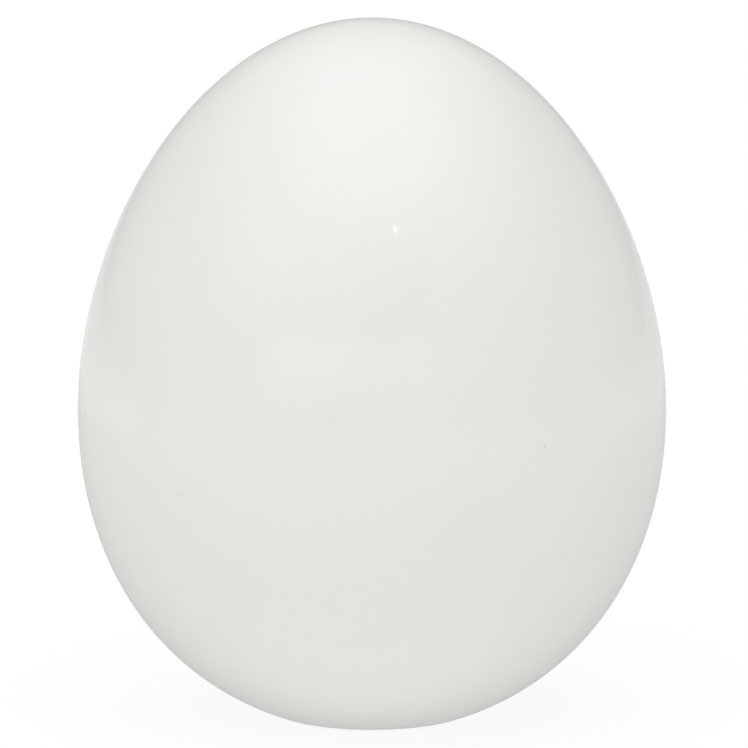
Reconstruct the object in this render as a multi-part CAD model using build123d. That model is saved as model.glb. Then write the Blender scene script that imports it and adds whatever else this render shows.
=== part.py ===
from build123d import *
import os
from math import acos, atan2, cos, degrees, hypot, pi, radians, sin, sqrt

# Egg-shaped wind-up kitchen timer, as an assembly of separate pieces, in millimetres.
# +Z is up and the origin is on the standing surface, under the egg's axis. The dial faces -Y, so +X is
# on the right of someone reading it. The moulded shell is an egg of revolution, split by a vertical
# seam into a front shell, which holds the dial, and a plain rear shell. The movement hangs from the
# front shell, with every arbor along Y.
# Places in the movement are (u, v): u along +X and v up, both from the dial's axis.

# ---- driving dimensions ----
EGG_WIDTH = 62.0
EGG_LENGTH = 75.5  # of the whole egg, before its foot is cut flat
EGG_SKEW = 3.8  # how far the widest level lies below mid length
FOOT_CUT = 1.9  # cut off the blunt end, so that the egg stands
EGG_POINTS = 32  # on the whole outline
PAD_PROUD = 0.4  # the foot pad lifts the shell this far off the surface
WALL = 2.2
FLOOR = 4.0
SEAM_Y = -2.0
SEAM_GAP = 0.12
LIP_DEPTH = 2.0
LIP_INSET = 1.2
LIP_CLEARANCE = 0.1
SNAP_HALF_WIDTH = 3.0
SNAP_ROOT_Y = -6.7
SNAP_TIP_Y = 2.5
SNAP_THICK = 1.2
SNAP_BARB = 0.3
SNAP_BARB_LENGTH = 0.8
SNAP_ROOT_LENGTH = 2.0
SNAP_ROOT_RISE = 1.8  # above the hook's top, into the crown
SNAP_DROP = 0.9  # from the inside of the crown to the hook's top
RIB_HALF_WIDTH = 4.5
RIB_Y = (0.7, 1.5)
RIB_DROP = 0.8
RIB_RISE = 3.0
WALL_BITE = 0.6  # how far inner features run into the wall

WELL_RADIUS = 20.5
WELL_FLOOR_Y = -22.3
WELL_FLOOR_THICK = 2.0
WELL_WALL = 1.8
WELL_EDGE = 0.5
WELL_BORE_RADIUS = 3.9  # for the bush
PLATE_RADIUS = 19.8

# ---- levels of the movement along Y, each (front, back) ----
FRONT_PLATE_Y = (-20.3, -19.3)
REAR_PLATE_Y = (-2.0, -1.0)
CAM_Y = (-18.4, -17.6)
RATCHET_Y = (-17.2, -16.5)
GREAT_Y = (-16.3, -15.4)
SECOND_Y = (-14.8, -14.1)
FLYWHEEL_Y = (-15.0, -13.6)
THIRD_Y = (-13.4, -12.8)
ESCAPE_Y = (-12.1, -11.5)
LEVER_Y = (-11.3, -10.9)
SPRING_Y = (-10.2, -3.4)
HAMMER_Y = (4.0, 4.9)
BELL_Y = (2.0, 12.0)

# ---- wheel train: teeth, then modules ----
GREAT_TEETH = 64
SECOND_TEETH = 60
THIRD_TEETH = 56
PINION_LEAVES = 8
ESCAPE_TEETH = 18
GREAT_MODULE = 0.32
SECOND_MODULE = 0.26
THIRD_MODULE = 0.24
BACKLASH = 0.06
PRESSURE_ANGLE = radians(20)
WHEEL_ADDENDUM = 0.48  # times the module, short so that tips clear an 8-leaf pinion's roots
PINION_ADDENDUM = 0.75
ROOT_CLEARANCE = 0.35
WHEEL_RIM = 0.9  # from the teeth's roots to the windows
WHEEL_HUB = 1.3  # from the bore to the windows
SPOKE_WIDTH = 1.1
SPOKES = 4
SECOND_LEAVES_FRONT_Y = -17.0
THIRD_LEAVES_FRONT_Y = -15.2
ESCAPE_LEAVES_FRONT_Y = -13.9

# ---- arbors and pivots ----
ARBOR_RADIUS = 2.5
KNOB_SHAFT_RADIUS = 2.0
REAR_PIVOT_RADIUS = 1.5
PIVOT_RADIUS = 0.3
TRAIN_ARBOR_RADIUS = 0.6
ARBOR_FRONT_Y = -22.2
ARBOR_SHOULDER_Y = -3.0
KNOB_SHAFT_FRONT_Y = -29.0
KNOB_BORE_FRONT_Y = -29.4
SHAFT_FLAT = 0.75  # how far the shaft's flat lies from its axis, as a share of its radius
BUSH_RADIUS = 3.7
BUSH_FRONT_Y = -22.0
PIVOT_INSET = 0.1  # pivots end this far inside the plates' outer faces
ARBOR_END_PLAY = 0.2
RUNNING_CLEARANCE = 0.04
FIT_CLEARANCE = 0.02
PIN_CLEARANCE = 0.1
THROUGH = 1.0  # how far a cut runs past the face that it opens

# ---- places in the movement ----
SECOND_ANGLE = 250.0
THIRD_REACH = 11.6
ESCAPE_REACH = 12.0
PALLET_DIRECTION = 75.0  # from the escape wheel
ESCAPE_RADIUS = 5.0
PALLET_SPAN = 4.5  # teeth of the escape wheel between the two pins
PALLET_PIN_RADIUS = 0.2
PALLET_PIN_ORBIT = 5.26  # from the escape wheel's axis, clear of its tips in mid swing
FORK_DIRECTION = 15.0  # from the pallet arbor to the flywheel
FLYWHEEL_DISTANCE = 6.0
FLYWHEEL_RADIUS = 5.2
FLYWHEEL_PIN_ORBIT = 1.0
FLYWHEEL_PIN_RADIUS = 0.3
FORK_CLEARANCE = 0.12
PILLARS = [(75.0, 17.5), (184.0, 18.5), (300.0, 17.5)]  # (angle, distance)
PILLAR_RADIUS = 1.5
STUD_RADIUS = 1.0
STUD_END_Y = 1.0
NUT_RADIUS = 2.2  # over its corners
NUT_BACK_Y = 0.5
HAMMER_ANGLE = 10.0
HAMMER_REACH = 14.5
HAMMER_ARBOR_RADIUS = 0.8
FOLLOWER_ANGLE = -25.0
FOLLOWER_NOSE = 0.4
FOLLOWER_CLEARANCE = 0.08
FOLLOWER_HUB_RADIUS = 1.8
CAM_RADIUS = 6.4
LOBE_RADIUS = 7.5
LOBE_LEAD = 5.0  # degrees from the follower to the foot of the lobe's steep side
LOBE_STEEP = 5.0
LOBE_RAMP = 17.0
LOBE_STEPS = 8
LOBE_BITE = 0.1  # how far the lobe's ends dip into the disc
STOP_ORBIT = 5.5
STOP_PIN_RADIUS = 0.6
STOP_SPREAD = 15.0
HEAD_ANGLE = 45.0
HEAD_REACH = 15.2
HEAD_RADIUS = 1.55
HEAD_LENGTH = 3.0
HEAD_CROWN = 0.6
HEAD_RIVET_RADIUS = 0.6
HEAD_RIVET_PROUD = 0.3
ARM_WIDTH = 1.4
ARM_HUB_RADIUS = 2.0
ARM_EYE_RADIUS = 1.2
HAMMER_ARBOR_PROUD = 0.6
COLLAR_RADIUS = 1.7
COLLAR_Y = (-0.9, 0.3)
LEAF_THICK = 0.3
LEAF_START = 3.0  # along the hammer arm
LEAF_LENGTH = 4.4
LEAF_OFFSET = 1.05  # from the arm's middle line
LEAF_FOOT_OFFSET = 1.2
LEAF_FOOT_WIDTH = 2.5
LEAF_FOOT_THICK = 0.4
LEAF_PROUD = 0.2  # behind the arm
BELL_RADIUS = 18.2
BELL_WALL = 0.8
BELL_CROWN = 4.0
BELL_BORE_RADIUS = 1.35
POST_FLANGE_RADIUS = 4.0
POST_FLANGE_BACK_Y = 0.0
POST_RADIUS = 2.0
POST_THREAD_RADIUS = 1.3
POST_THREAD_LENGTH = 3.2
WASHER_RADIUS = 3.2
WASHER_THICK = 0.5
BELL_NUT_RADIUS = 2.9  # over its corners
BELL_NUT_THICK = 2.0

# ---- base ----
COVER_RADIUS = 9.8
COVER_THICK = 2.0
COVER_CLEARANCE = 0.2
PAD_RADIUS = 8.6
PAD_THICK = 0.8
PAD_CLEARANCE = 0.1
PAD_CHAMFER = 0.15
BALLAST_RADIUS = 13.0
BALLAST_THICK = 6.0
BALLAST_CHAMFER = 0.6
BASE_SCREWS = [(4.5, 4.5), (-4.5, 4.5), (3.6, -5.6), (-3.6, -5.6)]  # (x, y)
BASE_SCREW_RADIUS = 1.0
BASE_SCREW_LENGTH = 4.6  # above the shell's floor
BASE_HEAD_RADIUS = 1.6
BASE_HEAD_Z = (0.9, 1.8)
BASE_SLOT = (2.2, 0.4, 0.8)  # length, width, twice the depth
COVER_HOLE_RADIUS = 1.15
COVER_SINK_RADIUS = 1.8
SHELL_HOLE_RADIUS = 1.3

# ---- screws that hold the movement in the front shell ----
MOVEMENT_SCREWS = [30.0, 150.0, 270.0]  # angles
MOVEMENT_SCREW_REACH = 16.5
MOVEMENT_SCREW_RADIUS = 1.0
MOVEMENT_SCREW_PROUD = 0.3
MOVEMENT_HEAD_RADIUS = 1.9
MOVEMENT_HEAD_Y = (0.1, 0.9)  # behind the well's floor
MOVEMENT_SINK_RADIUS = 2.0
MOVEMENT_SLOT = (2.6, 0.6, 0.4)  # length, width, depth
WELL_HOLE_RADIUS = 1.1

# ---- knob ----
KNOB_RADIUS = 13.5
KNOB_BACK_Y = -23.3
KNOB_DISC_THICK = 2.6
KNOB_DISC_EDGE = 1.2
KNOB_FRONT_Y = -EGG_WIDTH / 2
GRIP_LENGTH = 24.6
GRIP_WIDTH = 7.0
GRIP_TAPER = 7.0  # degrees
GRIP_EDGE = 1.3
GRIP_BITE = 0.6  # how far the grip runs into the disc
INLAY_WIDTH = 1.3
INLAY_REACH = (2.0, 9.0)
INLAY_DEPTH = 0.4
INLAY_THICK = 0.38
DIAL_PLATE_RADIUS = 20.2
DIAL_PLATE_THICK = 0.6
DIAL_PLATE_BORE_RADIUS = 4.2

# ---- worked out ----
BASE_Z = PAD_PROUD
EGG_MIDDLE_Z = BASE_Z + EGG_LENGTH / 2 - FOOT_CUT
DIAL_Z = EGG_MIDDLE_Z - EGG_SKEW
FLOOR_TOP_Z = BASE_Z + FLOOR
FAR = 200.0  # the side of boxes that stand for half spaces


def polar(angle, distance):
    """(u, v) of a place given by its angle in degrees and its distance."""
    return distance * cos(radians(angle)), distance * sin(radians(angle))


def step_from(start, angle, distance):
    du, dv = polar(angle, distance)
    return start[0] + du, start[1] + dv


def angle_between(start, end):
    return degrees(atan2(end[1] - start[1], end[0] - start[0]))


def mesh_distance(teeth, module):
    """Distance between a wheel and the pinion it meshes with."""
    return (teeth + PINION_LEAVES) * module / 2


def next_angle(reach, distance, next_reach):
    """Angle at the dial's axis between two arbors that lie `distance` apart."""
    return degrees(acos((reach**2 + next_reach**2 - distance**2) / (2 * reach * next_reach)))


SECOND_REACH = mesh_distance(GREAT_TEETH, GREAT_MODULE)
SECOND_AT = polar(SECOND_ANGLE, SECOND_REACH)
SECOND_TO_THIRD = mesh_distance(SECOND_TEETH, SECOND_MODULE)
THIRD_ANGLE = SECOND_ANGLE - next_angle(SECOND_REACH, SECOND_TO_THIRD, THIRD_REACH)
THIRD_AT = polar(THIRD_ANGLE, THIRD_REACH)
THIRD_TO_ESCAPE = mesh_distance(THIRD_TEETH, THIRD_MODULE)
ESCAPE_ANGLE = THIRD_ANGLE - next_angle(THIRD_REACH, THIRD_TO_ESCAPE, ESCAPE_REACH)
ESCAPE_AT = polar(ESCAPE_ANGLE, ESCAPE_REACH)
PALLET_HALF_SPAN = PALLET_SPAN * 360 / ESCAPE_TEETH / 2
PALLET_AT = step_from(ESCAPE_AT, PALLET_DIRECTION, PALLET_PIN_ORBIT / cos(radians(PALLET_HALF_SPAN)))
FLYWHEEL_AT = step_from(PALLET_AT, FORK_DIRECTION, FLYWHEEL_DISTANCE)
HAMMER_AT = polar(HAMMER_ANGLE, HAMMER_REACH)
HEAD_AT = polar(HEAD_ANGLE, HEAD_REACH)
TRAIN_PLACES = [SECOND_AT, THIRD_AT, ESCAPE_AT, PALLET_AT, FLYWHEEL_AT]


# ---- helpers ----
def rod(radius, front_y, back_y, at=(0.0, 0.0)):
    """A cylinder along Y at a place in the movement."""
    middle = Pos(at[0], (front_y + back_y) / 2, DIAL_Z + at[1])
    return middle * Rot(90, 0, 0) * Cylinder(radius, back_y - front_y)


def upright(radius, bottom_z, top_z, at=(0.0, 0.0)):
    """A cylinder along Z at (x, y)."""
    return Pos(at[0], at[1], (bottom_z + top_z) / 2) * Cylinder(radius, top_z - bottom_z)


def block(x, y, z):
    """A box given by its (low, high) along each axis."""
    middle = Pos(*[(low + high) / 2 for low, high in (x, y, z)])
    return middle * Box(*[high - low for low, high in (x, y, z)])


def slab(sketch, levels):
    """A sketch in (u, v), extruded between two levels along Y."""
    front_y, back_y = levels
    plane = Plane(origin=(0, back_y, DIAL_Z), x_dir=(1, 0, 0), z_dir=(0, -1, 0))
    return extrude(plane * sketch, amount=back_y - front_y)


def bar(start, end, width):
    """A straight bar in (u, v) with square ends."""
    middle = Pos((start[0] + end[0]) / 2, (start[1] + end[1]) / 2)
    length = hypot(end[0] - start[0], end[1] - start[1])
    return middle * Rot(0, 0, angle_between(start, end)) * Rectangle(length, width)


def spot(radius, at=(0.0, 0.0)):
    return Pos(*at) * Circle(radius)


def behind(y):
    """The half space on the rear side of y."""
    return Pos(0, y + FAR / 2, 0) * Box(FAR, FAR, FAR)


def before(y):
    """The half space on the front side of y."""
    return Pos(0, y - FAR / 2, 0) * Box(FAR, FAR, FAR)


# ---- the egg ----
def egg_point(t, inset=0.0):
    """A point of the egg's outline, moved inwards; t runs from 0 at the blunt end, past pi at the tip."""

    def outline(s):
        z = -EGG_LENGTH / 2 * cos(s)
        spread = sqrt(EGG_LENGTH**2 + 8 * EGG_SKEW * z + 4 * EGG_SKEW**2)
        return EGG_WIDTH / 2 * sin(s) * EGG_LENGTH / spread, EGG_MIDDLE_Z + z

    step = 1e-4
    x, z = outline(t)
    ahead, back = outline(t + step), outline(t - step)
    along_x, along_z = ahead[0] - back[0], ahead[1] - back[1]
    length = hypot(along_x, along_z)
    return x - inset * along_z / length, z + inset * along_x / length


def egg(inset=0.0, bottom_z=BASE_Z):
    """The solid egg, moved inwards and cut flat at bottom_z."""
    outline = Spline(*[egg_point(2 * pi * i / EGG_POINTS, inset) for i in range(EGG_POINTS)], periodic=True)
    kept = Pos(EGG_WIDTH / 2, bottom_z + EGG_LENGTH / 2) * Rectangle(EGG_WIDTH, EGG_LENGTH)
    return revolve(Plane.XZ * (make_face(outline) & kept), Axis.Z, 360)


OUTER_EGG = egg()
CAVITY = egg(WALL, FLOOR_TOP_Z)


CROWN_Z = EGG_MIDDLE_Z + EGG_LENGTH / 2 - WALL  # the top of the cavity


def snap_tab():
    """The hook on the front shell's crown that clips behind the rear shell's rib."""
    top_z = CROWN_Z - SNAP_DROP
    across = (-SNAP_HALF_WIDTH, SNAP_HALF_WIDTH)
    tongue = block(across, (SNAP_ROOT_Y, SNAP_TIP_Y), (top_z - SNAP_THICK, top_z))
    barb = block(across, (SNAP_TIP_Y - SNAP_BARB_LENGTH, SNAP_TIP_Y), (top_z, top_z + SNAP_BARB))
    root_y = (SNAP_ROOT_Y, SNAP_ROOT_Y + SNAP_ROOT_LENGTH)
    root = block(across, root_y, (top_z - SNAP_THICK, top_z + SNAP_ROOT_RISE))
    return (tongue + barb + root) & egg(WALL - WALL_BITE)


def snap_rib():
    bottom_z = CROWN_Z - RIB_DROP
    rib = block((-RIB_HALF_WIDTH, RIB_HALF_WIDTH), RIB_Y, (bottom_z, bottom_z + RIB_RISE))
    return rib & egg(WALL - WALL_BITE)


def shell_cuts():
    """The recess for the base cover and the holes for its screws."""
    cuts = upright(COVER_RADIUS + COVER_CLEARANCE, BASE_Z - THROUGH, BASE_Z + COVER_THICK)
    for at in BASE_SCREWS:
        cuts += upright(SHELL_HOLE_RADIUS, BASE_Z, FLOOR_TOP_Z + THROUGH, at)
    return cuts


def rear_shell():
    body = OUTER_EGG - CAVITY
    inset = LIP_INSET + LIP_CLEARANCE
    tongue = (egg(inset, BASE_Z + inset) - CAVITY) & behind(SEAM_Y - LIP_DEPTH)
    shell = (body & behind(SEAM_Y)) + (tongue & before(SEAM_Y + THROUGH))
    return shell + snap_rib() - shell_cuts()


def well_rim(shell):
    """The edges where the well's wall meets the egg's surface."""
    found = []
    for edge in shell.edges():
        middle = edge @ 0.5
        reach = hypot(middle.X, middle.Z - DIAL_Z)
        on_wall = abs(reach - WELL_RADIUS) < WELL_EDGE / 10
        if on_wall and middle.Y < WELL_FLOOR_Y - WELL_EDGE:
            found.append(edge)
    return found


def front_shell():
    """The front of the egg with the dial's well sunk into it."""
    wall = OUTER_EGG - CAVITY
    cup = OUTER_EGG & rod(WELL_RADIUS + WELL_WALL, -EGG_WIDTH, WELL_FLOOR_Y + WELL_FLOOR_THICK)
    well = rod(WELL_RADIUS, -EGG_WIDTH, WELL_FLOOR_Y)
    body = wall + cup - well
    rim = OUTER_EGG - egg(LIP_INSET, BASE_Z + LIP_INSET)
    edge_y, lip_y = SEAM_Y - SEAM_GAP, SEAM_Y - LIP_DEPTH - LIP_CLEARANCE
    shell = (body & before(lip_y)) + (rim & before(edge_y) & behind(lip_y - THROUGH))
    shell = fillet(well_rim(shell), WELL_EDGE)
    shell -= rod(WELL_BORE_RADIUS, WELL_FLOOR_Y - THROUGH, 0)
    for angle in MOVEMENT_SCREWS:
        at = polar(angle, MOVEMENT_SCREW_REACH)
        shell -= rod(WELL_HOLE_RADIUS, WELL_FLOOR_Y - THROUGH, 0, at)
        shell -= rod(MOVEMENT_SINK_RADIUS, WELL_FLOOR_Y - THROUGH, WELL_FLOOR_Y + MOVEMENT_HEAD_Y[1], at)
    return shell + snap_tab() - shell_cuts()


# ---- base ----
def base_cover():
    top_z = BASE_Z + COVER_THICK
    cover = upright(COVER_RADIUS, BASE_Z, top_z)
    cover -= upright(PAD_RADIUS + PAD_CLEARANCE, BASE_Z - THROUGH, PAD_THICK)
    for at in BASE_SCREWS:
        cover -= upright(COVER_HOLE_RADIUS, BASE_Z, top_z + THROUGH, at)
        cover -= upright(COVER_SINK_RADIUS, BASE_Z, BASE_HEAD_Z[1], at)
    return cover


def foot_pad():
    pad = upright(PAD_RADIUS, 0, PAD_THICK)
    return chamfer(pad.edges().group_by(Axis.Z)[0], PAD_CHAMFER)


def ballast():
    top_z = FLOOR_TOP_Z + BALLAST_THICK
    puck = upright(BALLAST_RADIUS, FLOOR_TOP_Z, top_z)
    puck = chamfer(puck.edges().group_by(Axis.Z)[-1], BALLAST_CHAMFER)
    for at in BASE_SCREWS:
        puck -= upright(BASE_SCREW_RADIUS + FIT_CLEARANCE, FLOOR_TOP_Z - THROUGH, top_z + THROUGH, at)
    return puck


def base_screws():
    """Pan-head screws from under the cover into the ballast, which serves as their nut."""
    screws = []
    for at in BASE_SCREWS:
        head = upright(BASE_HEAD_RADIUS, *BASE_HEAD_Z, at)
        shank = upright(BASE_SCREW_RADIUS, BASE_HEAD_Z[1], FLOOR_TOP_Z + BASE_SCREW_LENGTH, at)
        slot = Pos(*at, BASE_HEAD_Z[0]) * Box(*BASE_SLOT)
        screws.append(head + shank - slot)
    return screws


# ---- dial ----
def dial_plate():
    front_y = WELL_FLOOR_Y - DIAL_PLATE_THICK
    plate = rod(DIAL_PLATE_RADIUS, front_y, WELL_FLOOR_Y)
    return plate - rod(DIAL_PLATE_BORE_RADIUS, front_y - THROUGH, WELL_FLOOR_Y + THROUGH)


def knob():
    """A disc with a tapered finger grip, bored with a D for the arbor."""
    disc_front_y = KNOB_BACK_Y - KNOB_DISC_THICK
    disc = rod(KNOB_RADIUS, disc_front_y, KNOB_BACK_Y)
    disc = fillet(disc.edges().group_by(Axis.Y)[0], KNOB_DISC_EDGE)
    foot_y = disc_front_y + GRIP_BITE
    foot = Plane(origin=(0, foot_y, DIAL_Z), x_dir=(1, 0, 0), z_dir=(0, -1, 0))
    outline = Rot(0, 0, 90) * SlotOverall(GRIP_LENGTH, GRIP_WIDTH)
    grip = extrude(foot * outline, amount=foot_y - KNOB_FRONT_Y, taper=GRIP_TAPER)
    grip = fillet(grip.edges().group_by(Axis.Y)[0], GRIP_EDGE)
    groove = pointer_bar(INLAY_WIDTH, (KNOB_FRONT_Y - THROUGH, KNOB_FRONT_Y + INLAY_DEPTH))
    bore = d_section(KNOB_SHAFT_RADIUS + FIT_CLEARANCE, KNOB_BORE_FRONT_Y, KNOB_BACK_Y + THROUGH)
    return disc + grip - groove - bore


def pointer_bar(width, levels):
    inner, outer = INLAY_REACH
    return slab(bar((0, inner), (0, outer), width), levels)


def d_section(radius, front_y, back_y):
    """A round shaft with one flat, on its underside."""
    flat_z = DIAL_Z - radius * SHAFT_FLAT
    cut = block((-2 * radius, 2 * radius), (front_y, back_y), (flat_z - 2 * radius, flat_z))
    return rod(radius, front_y, back_y) - cut


def pointer_inlay():
    return pointer_bar(INLAY_WIDTH - 2 * FIT_CLEARANCE, (KNOB_FRONT_Y, KNOB_FRONT_Y + INLAY_THICK))


# ---- plates and what holds them ----
def pillar_places():
    return [polar(*pillar) for pillar in PILLARS]


def front_plate():
    plate = rod(PLATE_RADIUS, *FRONT_PLATE_Y)
    reach = (FRONT_PLATE_Y[0] - THROUGH, FRONT_PLATE_Y[1] + THROUGH)
    plate -= rod(BUSH_RADIUS, *reach)
    plate -= rod(HAMMER_ARBOR_RADIUS / 2 + RUNNING_CLEARANCE, *reach, HAMMER_AT)
    plate -= rod(STOP_PIN_RADIUS, *reach, stop_place(STOP_SPREAD))
    for at in TRAIN_PLACES:
        plate -= rod(PIVOT_RADIUS + RUNNING_CLEARANCE, *reach, at)
    for at in pillar_places():
        plate -= rod(STUD_RADIUS, *reach, at)
    for angle in MOVEMENT_SCREWS:
        plate -= rod(MOVEMENT_SCREW_RADIUS + FIT_CLEARANCE, *reach, polar(angle, MOVEMENT_SCREW_REACH))
    return plate


def rear_plate():
    plate = rod(PLATE_RADIUS, *REAR_PLATE_Y)
    reach = (REAR_PLATE_Y[0] - THROUGH, REAR_PLATE_Y[1] + THROUGH)
    plate -= rod(REAR_PIVOT_RADIUS + RUNNING_CLEARANCE, *reach)
    plate -= rod(HAMMER_ARBOR_RADIUS + RUNNING_CLEARANCE, *reach, HAMMER_AT)
    for at in TRAIN_PLACES:
        plate -= rod(PIVOT_RADIUS + RUNNING_CLEARANCE, *reach, at)
    for at in pillar_places():
        plate -= rod(STUD_RADIUS + FIT_CLEARANCE, *reach, at)
    return plate


def pillar(at):
    """A turned spacer, riveted into the front plate and threaded behind the rear one."""
    body = rod(PILLAR_RADIUS, FRONT_PLATE_Y[1], REAR_PLATE_Y[0], at)
    tenon = rod(STUD_RADIUS, *FRONT_PLATE_Y, at)
    return body + tenon + rod(STUD_RADIUS, REAR_PLATE_Y[0], STUD_END_Y, at)


def pillar_nuts():
    nuts = []
    for at in pillar_places():
        ring = Pos(*at) * RegularPolygon(NUT_RADIUS, 6) - spot(STUD_RADIUS + FIT_CLEARANCE, at)
        nuts.append(slab(ring, (REAR_PLATE_Y[1], NUT_BACK_Y)))
    return nuts


def movement_screws():
    """Countersunk under the dial plate, and threaded into the front plate."""
    front_y, back_y = [WELL_FLOOR_Y + depth for depth in MOVEMENT_HEAD_Y]
    length, width, depth = MOVEMENT_SLOT
    screws = []
    for angle in MOVEMENT_SCREWS:
        u, v = polar(angle, MOVEMENT_SCREW_REACH)
        head = rod(MOVEMENT_HEAD_RADIUS, front_y, back_y, (u, v))
        shank = rod(MOVEMENT_SCREW_RADIUS, back_y, FRONT_PLATE_Y[1] + MOVEMENT_SCREW_PROUD, (u, v))
        slot = Pos(u, front_y, DIAL_Z + v) * Box(length, 2 * depth, width)
        screws.append(head + shank - slot)
    return screws


def arbor_bush():
    bush = rod(BUSH_RADIUS, BUSH_FRONT_Y, FRONT_PLATE_Y[1])
    return bush - rod(ARBOR_RADIUS + RUNNING_CLEARANCE, BUSH_FRONT_Y - THROUGH, FRONT_PLATE_Y[1] + THROUGH)


# ---- winding arbor and what turns with it ----
def winding_arbor():
    shaft = rod(ARBOR_RADIUS, ARBOR_FRONT_Y, ARBOR_SHOULDER_Y)
    pivot = rod(REAR_PIVOT_RADIUS, ARBOR_SHOULDER_Y, REAR_PLATE_Y[1] - PIVOT_INSET)
    return shaft + pivot + d_section(KNOB_SHAFT_RADIUS, KNOB_SHAFT_FRONT_Y, ARBOR_FRONT_Y)


def stop_place(spread):
    return polar(90 + spread, STOP_ORBIT)


def alarm_cam():
    """A disc with one lobe, which lifts the hammer and drops it as the dial comes back to zero."""
    foot = FOLLOWER_ANGLE + LOBE_LEAD
    inside = CAM_RADIUS - LOBE_BITE
    profile = [polar(foot, inside)]
    for i in range(LOBE_STEPS + 1):
        share = i / LOBE_STEPS
        radius = LOBE_RADIUS - (LOBE_RADIUS - inside) * share**2
        profile.append(polar(foot + LOBE_STEEP + LOBE_RAMP * share, radius))
    lobe = make_face(Polyline((0, 0), *profile, close=True))
    disc = spot(CAM_RADIUS) + lobe - spot(ARBOR_RADIUS + FIT_CLEARANCE)
    return slab(disc - spot(STOP_PIN_RADIUS, stop_place(0)), CAM_Y)


def cam_stop_pin():
    return rod(STOP_PIN_RADIUS, FRONT_PLATE_Y[1] + PIN_CLEARANCE, CAM_Y[1], stop_place(0))


def plate_stop_pin():
    return rod(STOP_PIN_RADIUS, FRONT_PLATE_Y[0], CAM_Y[0] - PIN_CLEARANCE, stop_place(STOP_SPREAD))


RATCHET_TEETH = 12
RATCHET_TIP = 4.6
RATCHET_ROOT = 3.8
RATCHET_LEAN = 1.5  # degrees, from a tooth's root to its tip


def saw_teeth(count, tip, root, lean):
    """Points of a saw-toothed outline: each tooth drops along a radius and climbs along a ramp."""
    points = []
    for i in range(count):
        angle = 360 * i / count
        points.append(polar(angle, root))
        points.append(polar(angle + lean, tip))
    return points


def ratchet_wheel():
    teeth = saw_teeth(RATCHET_TEETH, RATCHET_TIP, RATCHET_ROOT, RATCHET_LEAN)
    outline = make_face(Polyline(*teeth, close=True))
    return slab(outline - spot(ARBOR_RADIUS + FIT_CLEARANCE), RATCHET_Y)


# ---- toothed wheels and their arbors ----
def plain_arbor(at, radius):
    """An arbor between the plates, with a thin pivot at each end."""
    arbor = rod(radius, FRONT_PLATE_Y[1] + ARBOR_END_PLAY, REAR_PLATE_Y[0] - ARBOR_END_PLAY, at)
    return arbor + rod(PIVOT_RADIUS, FRONT_PLATE_Y[0] + PIVOT_INSET, REAR_PLATE_Y[1] - PIVOT_INSET, at)


def involute_angle(radius, base_radius):
    """The polar angle of an involute at a radius, from where it leaves its base circle."""
    slope = sqrt(max((radius / base_radius) ** 2 - 1, 0))
    return slope - atan2(slope, 1)


def tooth_outline(teeth, module, addendum, dedendum, phase):
    """A closed gear outline about (0, 0), with a tooth centred on the phase angle, in degrees."""
    pitch_radius = teeth * module / 2
    base_radius = pitch_radius * cos(PRESSURE_ANGLE)
    half_pitch = (pi * module / 2 - BACKLASH / 2) / 2 / pitch_radius
    at_pitch = involute_angle(pitch_radius, base_radius)
    root_radius = pitch_radius - dedendum * module
    tip_radius = pitch_radius + addendum * module
    flank = [root_radius]
    if root_radius < base_radius:
        flank.append(base_radius)
    flank += [pitch_radius, tip_radius]
    points = []
    for i in range(teeth):
        middle = radians(phase) + 2 * pi * i / teeth
        halves = [half_pitch + at_pitch - involute_angle(max(r, base_radius), base_radius) for r in flank]
        points += [polar(degrees(middle - h), r) for h, r in zip(halves, flank)]
        points += [polar(degrees(middle + h), r) for h, r in zip(halves[::-1], flank[::-1])]
    return make_face(Polyline(*points, close=True))


def wheel(teeth, module, phase, at, bore, spokes):
    """A toothed wheel with crossed-out windows between its spokes."""
    dedendum = PINION_ADDENDUM + ROOT_CLEARANCE
    face = tooth_outline(teeth, module, WHEEL_ADDENDUM, dedendum, phase)
    rim = teeth * module / 2 - dedendum * module - WHEEL_RIM
    hub = bore + WHEEL_HUB
    if spokes:
        window = spot(rim) - spot(hub)
        for i in range(spokes):
            window -= bar((0, 0), polar(phase + 360 * i / spokes, rim + THROUGH), SPOKE_WIDTH)
        face -= window
    return Pos(*at) * (face - spot(bore))


def pinion(module, phase, at, levels):
    """A train arbor with its leaves, turned in one piece with both pivots."""
    leaves = tooth_outline(PINION_LEAVES, module, PINION_ADDENDUM, WHEEL_ADDENDUM + ROOT_CLEARANCE, phase)
    return plain_arbor(at, TRAIN_ARBOR_RADIUS) + slab(Pos(*at) * leaves, levels)


def facing_gap(wheel_at, pinion_at):
    """The phase that turns a gap of a pinion towards the wheel whose tooth points at it."""
    return angle_between(pinion_at, wheel_at) + 180 / PINION_LEAVES


def great_wheel():
    face = wheel(GREAT_TEETH, GREAT_MODULE, SECOND_ANGLE, (0, 0), ARBOR_RADIUS + RUNNING_CLEARANCE, 0)
    return slab(face - spot(RIVET_RADIUS, CLICK_AT) - spot(CLICK_STUD_RADIUS, CLICK_STUD_AT), GREAT_Y)


def second_wheel():
    phase = angle_between(SECOND_AT, THIRD_AT)
    face = wheel(SECOND_TEETH, SECOND_MODULE, phase, SECOND_AT, TRAIN_ARBOR_RADIUS, SPOKES)
    return slab(face, SECOND_Y)


def third_wheel():
    phase = angle_between(THIRD_AT, ESCAPE_AT)
    face = wheel(THIRD_TEETH, THIRD_MODULE, phase, THIRD_AT, TRAIN_ARBOR_RADIUS, SPOKES)
    return slab(face, THIRD_Y)


def second_pinion():
    phase = facing_gap((0, 0), SECOND_AT)
    return pinion(GREAT_MODULE, phase, SECOND_AT, (SECOND_LEAVES_FRONT_Y, SECOND_Y[0]))


def third_pinion():
    phase = facing_gap(SECOND_AT, THIRD_AT)
    return pinion(SECOND_MODULE, phase, THIRD_AT, (THIRD_LEAVES_FRONT_Y, THIRD_Y[0]))


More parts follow.
